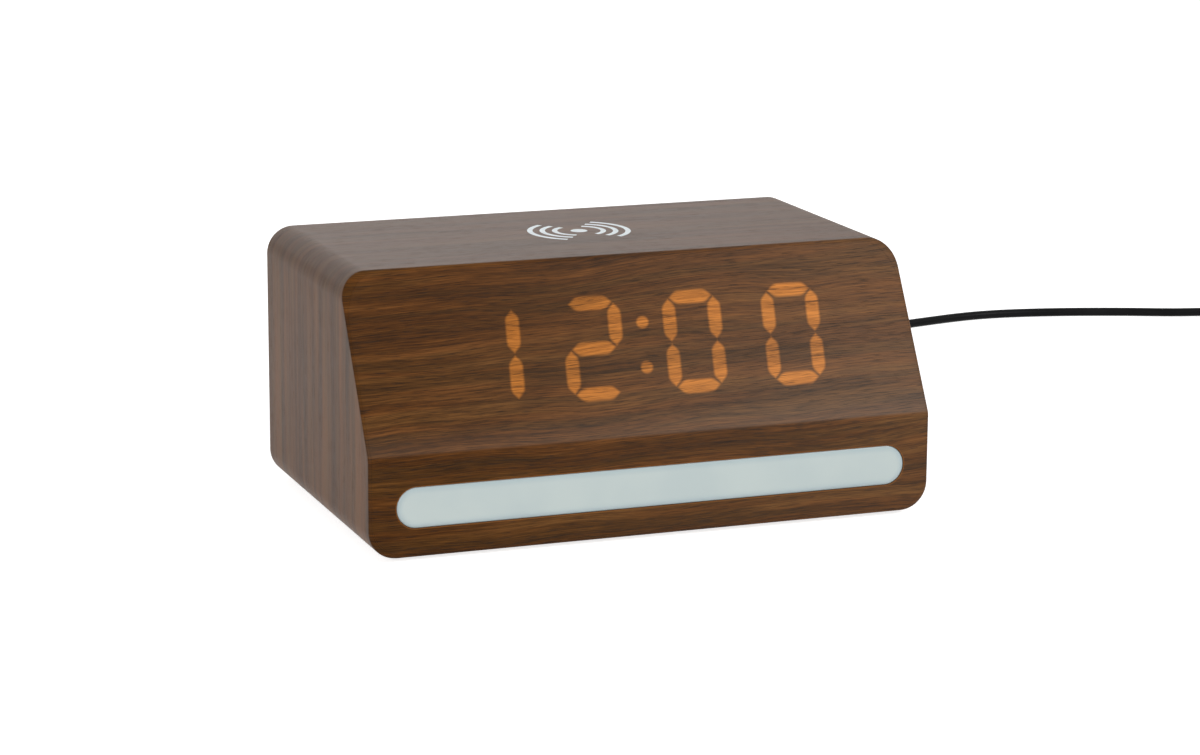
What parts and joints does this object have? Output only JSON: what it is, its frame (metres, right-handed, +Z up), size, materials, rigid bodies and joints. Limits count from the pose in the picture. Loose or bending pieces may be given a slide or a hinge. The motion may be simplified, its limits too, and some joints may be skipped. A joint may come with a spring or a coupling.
{
  "type": "digital alarm clock",
  "caption": "Wooden-case digital alarm clock with a leaning lit face, a light bar, a charging top, rear buttons and a USB cord.",
  "frame": {"origin": "on the ground, under the middle of the case", "axes": "+X to the right as one faces the digits, +Y to the back, +Z up"},
  "size_m": [0.4868, 0.2729, 0.0865],
  "materials": {
    "walnut": "walnut veneer, satin",
    "black_plastic": "fine moulded texture",
    "black_screw": "blackened steel",
    "button_rubber": "soft matt",
    "foot_rubber": "matt",
    "frosted_plastic": "frosted translucent white",
    "white_plastic": "plain white",
    "circuit_board": "solder mask",
    "steel": "plated",
    "copper": "enamelled copper wire",
    "ferrite": "sintered, dull",
    "ribbon": "flat cable",
    "cord_jacket": "smooth satin jacket",
    "cord_moulding": "satin moulding",
    "strap": "hook and loop strap"
  },
  "bodies": {
    "clock": {"case_wrap": "walnut", "front_panel": "walnut", "display_frame": "black_plastic", "coil_carrier": "black_plastic", "rear_cover": "black_plastic", "cell_holder": "black_plastic", "power_socket": "black_plastic", "sounder": "black_plastic", "clock_chip": "black_plastic", "set_switch": "black_plastic", "up_switch": "black_plastic", "down_switch": "black_plastic", "alarm_switch": "black_plastic", "light_switch": "black_plastic", "cover_screw_1": "black_screw", "cover_screw_2": "black_screw", "cover_screw_3": "black_screw", "cover_screw_4": "black_screw", "foot_1": "foot_rubber", "foot_2": "foot_rubber", "foot_3": "foot_rubber", "foot_4": "foot_rubber", "light_lens": "frosted_plastic", "segment_diffuser": "frosted_plastic", "light_housing": "white_plastic", "usb_tongue": "white_plastic", "light_board": "circuit_board", "display_board": "circuit_board", "charger_board": "circuit_board", "main_board": "circuit_board", "board_screw_1": "steel", "board_screw_2": "steel", "board_screw_3": "steel", "board_screw_4": "steel", "coin_cell": "steel", "plug_barrel": "steel", "usb_shell": "steel", "charging_coil": "copper", "ferrite_plate": "ferrite", "display_ribbon": "ribbon", "cord": "cord_jacket", "cord_coil": "cord_jacket", "cord_tail": "cord_jacket", "charger_lead": "cord_jacket", "light_lead": "cord_jacket", "cord_plug": "cord_moulding", "usb_plug": "cord_moulding", "cord_tie": "strap"},
    "set_button": {"set_button": "button_rubber"},
    "up_button": {"up_button": "button_rubber"},
    "down_button": {"down_button": "button_rubber"},
    "alarm_button": {"alarm_button": "button_rubber"},
    "light_button": {"light_button": "button_rubber"},
    "cell_cap": {"cell_cap": "black_plastic"}
  },
  "joints": [
    {"name": "set_press", "type": "slide", "parent": "clock", "child": "set_button", "axis": [0, -1, 0], "range_m": [0, 0.0006], "stiffness_N_per_m": 1500},
    {"name": "up_press", "type": "slide", "parent": "clock", "child": "up_button", "axis": [0, -1, 0], "range_m": [0, 0.0006], "stiffness_N_per_m": 1500},
    {"name": "down_press", "type": "slide", "parent": "clock", "child": "down_button", "axis": [0, -1, 0], "range_m": [0, 0.0006], "stiffness_N_per_m": 1500},
    {"name": "alarm_press", "type": "slide", "parent": "clock", "child": "alarm_button", "axis": [0, -1, 0], "range_m": [0, 0.0006], "stiffness_N_per_m": 1500},
    {"name": "light_press", "type": "slide", "parent": "clock", "child": "light_button", "axis": [0, -1, 0], "range_m": [0, 0.0006], "stiffness_N_per_m": 1500},
    {"name": "cell_cap_turn", "type": "hinge", "parent": "clock", "child": "cell_cap", "pos_m": [0.005, 0.0545, 0.03625], "axis": [0, 1, 0], "range_deg": [0, 45]}
  ]
}
